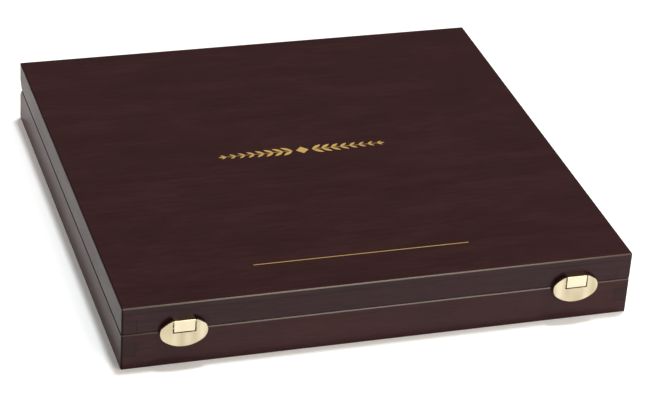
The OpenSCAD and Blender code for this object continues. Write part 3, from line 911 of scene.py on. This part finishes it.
@dataclass
class Latches:
    """The two front latches: oval plate, folded bracket, pin and keeper."""

    brass: Material
    # A lighter copy of the plate's brass for the bracket, keeper and pin: painted light.
    brass_painted_lighter: Material
    screw_brass: Material
    sheet_edge: float = 0.14 * MM
    pin_edge: float = 0.1 * MM

    def build(self) -> None:
        """Makes both latches and their screws."""
        for side in Side:
            name = side.value
            plate = softened_copy(f"latch_plate_{name}", f"oval_plate_{name}", self.sheet_edge)
            seat(plate, f"latch_{name}", self.brass, (f"latch_plate_{name}",))
            for part, body in (("latch_bracket", "lid"), ("keeper", "base"), ("latch_pin", "lid")):
                edge = self.pin_edge if part == "latch_pin" else self.sheet_edge
                piece = softened_copy(f"{part}_{name}", f"brass_{part}_{name}", edge)
                seat(piece, body, self.brass_painted_lighter, (f"{part}_{name}",))
        for node in ("bracket_screws", "keeper_screws"):
            dress(node, self.screw_brass)


@dataclass
class Hinges:
    """The two rear butt hinges with their pins and screws."""

    brass: Material
    screw_brass: Material
    leaf_edge: float = 0.12 * MM

    def build(self) -> None:
        """Makes both hinges."""
        for side in Side:
            for part, body in (("base_leaf", "base"), ("lid_leaf", "lid"), ("pin", "base")):
                node = f"hinge_{side.value}_{part}"
                piece = softened_copy(node, f"brass_{node}", self.leaf_edge)
                seat(piece, body, self.brass, (node,))
        for node in ("hinge_base_screws", "hinge_lid_screws"):
            dress(node, self.screw_brass)


@dataclass
class Trays:
    """The two flocked pencil trays."""

    flock: Material
    ridge_edge: float = 0.28 * MM

    def build(self) -> None:
        """Makes both trays with their edges rounded by the flock."""
        for row in ("front", "rear"):
            piece = softened_copy(f"tray_{row}", f"flocked_tray_{row}", self.ridge_edge)
            seat(piece, "base", self.flock, (f"tray_{row}",))


@dataclass
class LidPad:
    """The padded lining in the lid: cloth over foam, drawn in at a corded seam.

    Its flatness, corner_pull and shoulder are powers: they say how sharply the curves turn.
    """

    cloth: Material
    steps: int = 64
    crown: float = 2.2 * MM
    draw_in: float = 1.4 * MM
    face_rise: float = 0.5 * MM
    flatness: int = 8
    corner_pull: int = 6
    shoulder: float = 0.35
    held_depth: float = 4.0 * MM
    pressure: float = 3.0
    shrink: float = -0.012
    settle_frames: int = 18
    most_swell: float = 0.9 * MM
    cord_radius: float = 1.1 * MM
    cord_corner: float = 4.0 * MM
    cord_depth: float = 3.52 * MM
    stitch_pitch: float = 2.6 * MM
    stitch_lap: float = 1.04
    stitch_width: float = 0.32
    stitch_lean: float = 0.45

    def _shell(self) -> Object:
        """Builds the closed cushion shape, face down, before the cloth settles.

        Returns:
            The cushion.
        """
        low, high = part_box("lid_pad")
        middle, half = (low + high) / 2, (high - low) / 2
        count = self.steps
        shell = bmesh.new()
        rows = {}
        for layer in ("face", "back"):
            for j in range(count + 1):
                for i in range(count + 1):
                    u = math.sin(math.pi / 2 * (2 * i / count - 1))
                    v = math.sin(math.pi / 2 * (2 * j / count - 1))
                    fall = ((1 - u**self.flatness) * (1 - v**self.flatness)) ** self.shoulder
                    edge = max(abs(u), abs(v)) ** self.corner_pull
                    x = (half.x - self.draw_in * (1 - v * v) * edge) * u
                    y = (half.y - self.draw_in * (1 - u * u) * edge) * v
                    face_z = low.z + self.face_rise + self.crown * (1 - fall)
                    place = (middle.x + x, middle.y + y, face_z if layer == "face" else high.z)
                    rows[layer, i, j] = shell.verts.new(place)
        for j in range(count):
            for i in range(count):
                around = ((i, j), (i, j + 1), (i + 1, j + 1), (i + 1, j))
                shell.faces.new([rows["face", a, b] for a, b in around])
                shell.faces.new([rows["back", a, b] for a, b in reversed(around)])
        rim = [(i, 0) for i in range(count)] + [(count, j) for j in range(count)]
        rim += [(count - i, count) for i in range(count)] + [(0, count - j) for j in range(count)]
        for here, after in zip(rim, rim[1:] + rim[:1]):
            shell.faces.new([rows["face", *here], rows["face", *after],
                             rows["back", *after], rows["back", *here]])
        bmesh.ops.recalc_face_normals(shell, faces=shell.faces)
        return shell_object("padded_lining", shell)

    def _settle(self, pad: Object) -> None:
        """Lets the cloth swell over the foam, held at its back, and keeps the result.

        Args:
            pad: The cushion.
        """
        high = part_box("lid_pad")[1]
        rest = [v.co.copy() for v in pad.data.vertices]
        held = pad.vertex_groups.new(name="held")
        held.add([i for i, p in enumerate(rest) if p.z > high.z - self.held_depth], 1.0, "REPLACE")
        cloth = pad.modifiers.new("settle", "CLOTH")
        cloth.settings.vertex_group_mass = "held"
        cloth.settings.use_pressure = True
        cloth.settings.uniform_pressure_force = self.pressure
        cloth.settings.effector_weights.gravity = 0.0
        cloth.settings.shrink_min = self.shrink
        scene = bpy.context.scene
        for step in range(1, self.settle_frames + 1):
            scene.frame_set(step)
        graph = bpy.context.evaluated_depsgraph_get()
        settled = [v.co.copy() for v in pad.evaluated_get(graph).data.vertices]
        pad.modifiers.clear()
        pad.vertex_groups.clear()
        for vertex, before, after in zip(pad.data.vertices, rest, settled):
            move = after - before
            if move.length > self.most_swell:
                move *= self.most_swell / move.length
            vertex.co = before + move
        scene.frame_set(1)

    def _seam_tree(self) -> Graph:
        """Builds the tree of the seam: a cord round the cushion with close stitches over it.

        Returns:
            The tree's graph.
        """
        inputs = {"Width": 0.36, "Depth": 0.35, "Corner": self.cord_corner,
                  "Radius": self.cord_radius, "Stitch": self.stitch_pitch,
                  "Material": "NodeSocketMaterial"}
        graph, inlet, outlet = new_group("corded_seam", "GeometryNodeTree", inputs,
                                         {"Geometry": "NodeSocketGeometry"})
        frame_line = graph.add("GeometryNodeCurvePrimitiveQuadrilateral",
                               {"Width": inlet["Width"], "Height": inlet["Depth"]})
        rounded = graph.add("GeometryNodeFilletCurve",
                            {"Curve": frame_line, "Radius": inlet["Corner"], "Count": 6},
                            mode="POLY")
        profile = graph.add("GeometryNodeCurvePrimitiveCircle",
                            {"Resolution": 10, "Radius": inlet["Radius"]}, mode="RADIUS")
        cord = graph.add("GeometryNodeCurveToMesh", {"Curve": rounded, "Profile Curve": profile})
        points = graph.add("GeometryNodeCurveToPoints",
                           {"Curve": rounded, "Length": inlet["Stitch"]}, mode="LENGTH")
        lap = graph.maths("MULTIPLY", inlet["Radius"], self.stitch_lap)
        stitch = graph.add("GeometryNodeMeshUVSphere", {"Segments": 8, "Rings": 6, "Radius": lap})
        flat = graph.moved(stitch, Scale=(1.0, 1.0, self.stitch_width),
                           Rotation=(0.0, self.stitch_lean, 0.0))
        feeds = {"Points": points, "Instance": flat, "Rotation": points.outputs["Rotation"]}
        laid = graph.add("GeometryNodeInstanceOnPoints", feeds)
        smooth = graph.add("GeometryNodeSetShadeSmooth", {"Geometry": graph.together(cord, laid)})
        end_tree(graph, outlet, smooth, inlet["Material"])
        return graph

    def build(self) -> None:
        """Makes the lining and its corded seam."""
        low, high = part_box("lid_pad")
        pad = self._shell()
        self._settle(pad)
        smooth = pad.modifiers.new("smooth", "SUBSURF")
        smooth.levels = smooth.render_levels = 1
        seat(pad, "lid", self.cloth, ("lid_pad",))
        inset = 2 * self.cord_radius + self.draw_in
        middle = (low + high) / 2
        values = {"Width": high.x - low.x - inset, "Depth": high.y - low.y - inset,
                  "Material": self.cloth}
        place = Matrix.Translation((middle.x, middle.y, low.z + self.cord_depth))
        seam = grow(self._seam_tree(), "lining_cord", values, place)
        seat(seam, "lid", self.cloth)


# ---- Studio


@dataclass(frozen=True)
class Sun:
    """A soft distant lamp, in watts per square metre and degrees, which gloss doesn't mirror."""

    name: str
    towards: Triple
    strength: float
    spread: float
    colour: Rgb

    def hang(self) -> None:
        """Adds the lamp to the scene."""
        data = bpy.data.lights.new(self.name, "SUN")
        data.energy = self.strength
        data.angle = math.radians(self.spread)
        data.color = self.colour
        light = new_object(self.name, data)
        light.visible_glossy = False
        light.rotation_euler = Vector(self.towards).to_track_quat("Z", "Y").to_euler()


@dataclass(frozen=True)
class Softbox:
    """A rectangular lamp that faces the case. At a radiance of 1 its mirror image is plain white."""

    name: str
    towards: Triple
    along: Triple
    away: float
    width: float
    length: float
    radiance: float
    colour: Rgb
    mirrored: bool = False

    def hang(self) -> None:
        """Adds the lamp to the scene."""
        data = bpy.data.lights.new(self.name, "AREA")
        data.shape = "RECTANGLE"
        data.size, data.size_y = self.width, self.length
        data.energy = self.radiance * math.pi * self.width * self.length
        data.color = self.colour
        light = new_object(self.name, data)
        back = Vector(self.towards).normalized()
        across = Vector(self.along).cross(back).normalized()
        turned = Matrix((across, back.cross(across), back)).transposed().to_4x4()
        light.matrix_world = Matrix.Translation(back * self.away) @ turned
        light.visible_camera = False
        light.visible_glossy = self.mirrored


LAMPS = (
    Sun("overhead", towards=(0.115, 0.12, 1.0), strength=2.15, spread=7.0,
        colour=(0.94, 0.99, 1.0)),
    Softbox("strip", towards=(0.29, -0.42, 0.84), along=(0.0, 0.9, 0.45), away=3.0, width=0.8,
            length=5.6, radiance=4.3, colour=(1.0, 0.9, 0.77), mirrored=True),
    Softbox("back_fill", towards=(-0.7, 0.75, 0.3), along=UPRIGHT, away=0.95, width=0.6,
            length=0.4, radiance=3.2, colour=(1.0, 0.86, 0.74)),
    Softbox("front_fill", towards=(0.85, -0.5, 0.2), along=UPRIGHT, away=0.7, width=0.5,
            length=0.35, radiance=2.0, colour=(0.94, 0.97, 1.0)),
)


@dataclass
class Studio:
    """Camera, pale floor and plain soft light."""

    lens_mm: float = 137.7
    eye: Triple = (-0.5353, -1.625, 1.0067)
    forward: Triple = (0.27691, 0.81777, -0.50456)
    up: Triple = (0.09582, 0.49898, 0.8613)
    floor_rings: tuple[float, ...] = (0.35, 0.7, 1.5, 4.0, 9.0)
    floor_radius: float = 12.0
    wall_height: float = 1.2
    bend_steps: int = 8
    sectors: int = 96
    sky: float = 0.05
    paper_white: float = 0.95
    paper_glow: float = 0.18
    glow_height: float = 0.2

    def camera(self) -> None:
        """Places the camera at the photograph's point of view."""
        data = bpy.data.cameras.new("camera")
        data.lens = self.lens_mm
        data.sensor_width = 36.0
        data.clip_start, data.clip_end = 0.05, 60.0
        camera = new_object("camera", data)
        ahead = Vector(self.forward).normalized()
        right = ahead.cross(Vector(self.up)).normalized()
        upward = right.cross(ahead)
        turned = Matrix((right, upward, -ahead)).transposed().to_4x4()
        camera.matrix_world = Matrix.Translation(self.eye) @ turned
        bpy.context.scene.camera = camera

    def floor(self) -> None:
        """Makes the pale floor, turned up a little at its far rim, which keeps the shadow."""
        profile = [(r, 0.0) for r in self.floor_rings]
        profile += [(self.floor_radius + self.wall_height * (math.sin(a) - 1),
                     self.wall_height * (1 - math.cos(a)))
                    for a in (math.pi / 2 * k / self.bend_steps for k in range(self.bend_steps + 1))]
        sectors = self.sectors
        shell = bmesh.new()
        centre = shell.verts.new((0.0, 0.0, 0.0))
        rings = [[shell.verts.new((r * math.cos(a), r * math.sin(a), z))
                  for a in (2 * math.pi * k / sectors for k in range(sectors))]
                 for r, z in profile]
        for k in range(sectors):
            after = (k + 1) % sectors
            shell.faces.new((centre, rings[0][k], rings[0][after]))
            for inner, outer in zip(rings, rings[1:]):
                shell.faces.new((inner[k], outer[k], outer[after], inner[after]))
        floor = shell_object("floor", shell)
        floor.data.materials.append(self._paper())

    def _paper(self) -> Material:
        """Makes the white paper, which shows white to the eye and in gloss but keeps shadows.

        Returns:
            The material.
        """
        material = bpy.data.materials.new("white_paper")
        material.use_nodes = True
        material.node_tree.nodes.clear()
        graph = Graph(material.node_tree)
        path = graph.add("ShaderNodeLightPath").outputs
        seen = graph.maths("MAXIMUM", path["Is Camera Ray"], path["Is Glossy Ray"])
        seen = graph.maths("MAXIMUM", seen, path["Is Transmission Ray"])
        height = graph.split(graph.add("ShaderNodeTexCoord").outputs["Object"])[2]
        rise = graph.remap(height, 0.0, self.glow_height, self.paper_glow, 1.0)
        glow = graph.maths("MULTIPLY", seen, rise)
        white = rgba((self.paper_white,) * 3)
        matt = graph.add("ShaderNodeBsdfDiffuse", {"Color": white})
        bright = graph.add("ShaderNodeEmission", {"Strength": glow})
        mixed = graph.add("ShaderNodeAddShader", {0: matt, 1: bright})
        graph.add("ShaderNodeOutputMaterial", {"Surface": mixed})
        return material

    def build(self) -> None:
        """Sets the camera, the floor and the lights."""
        scene = bpy.context.scene
        scene.view_settings.view_transform = "Standard"
        world = bpy.data.worlds.new("studio")
        scene.world = world
        world.use_nodes = True
        world.node_tree.nodes["Background"].inputs["Color"].default_value = rgba((self.sky,) * 3)
        self.camera()
        self.floor()
        for lamp in LAMPS:
            lamp.hang()


def main() -> None:
    """Builds the studio and every piece of the case in order."""
    logging.basicConfig(level=logging.INFO, format="%(name)s %(message)s")
    effects = Effects()
    Studio().build()
    # On the latch plates the dark edge tone, 0.9 mm wide, is a painted reflection on the rounded rim.
    latch_brass = MetalFinish("latch_brass", face=(0.7, 0.61, 0.44), deep=(0.5, 0.42, 0.28),
                              edge=(0.3, 0.2, 0.08), smooth=0.14, rough=0.22, rim=0.9 * MM)
    # A lighter copy of the latch brass for the bracket with its flap, the keeper and the pin: painted
    # light.
    brass_painted_lighter = MetalFinish("brass_painted_lighter", face=(0.82, 0.73, 0.54), deep=(0.76, 0.66, 0.47),
                             edge=(0.66, 0.5, 0.26), smooth=0.14, rough=0.24)
    hinge_brass = MetalFinish("hinge_brass", face=(0.7, 0.57, 0.33), deep=(0.6, 0.45, 0.22),
                              edge=(0.82, 0.7, 0.46), smooth=0.2, rough=0.34)
    screws = MetalFinish("screw_brass", face=(0.68, 0.54, 0.3), deep=(0.56, 0.42, 0.2),
                         edge=(0.8, 0.68, 0.42), smooth=0.22, rough=0.36).build(effects)
    flock = FlockFinish("tray_flock", colour=(0.011, 0.011, 0.012), tip=(0.035, 0.035, 0.038))
    cloth = ClothFinish("pad_cloth", colour=(0.74, 0.68, 0.57), shade=(0.6, 0.54, 0.44))
    foil = FoilFinish("gilt_foil", bright=(0.85, 0.58, 0.2), dull=(0.72, 0.47, 0.13))
    Carcass(effects).build()
    Latches(latch_brass.build(effects), brass_painted_lighter.build(effects), screws).build()
    Hinges(hinge_brass.build(effects), screws).build()
    Trays(flock.build(effects)).build()
    LidPad(cloth.build(effects)).build()
    Gilding().build(foil.build(effects))
    bpy.context.view_layer.update()


if __name__ == "__main__":
    main()
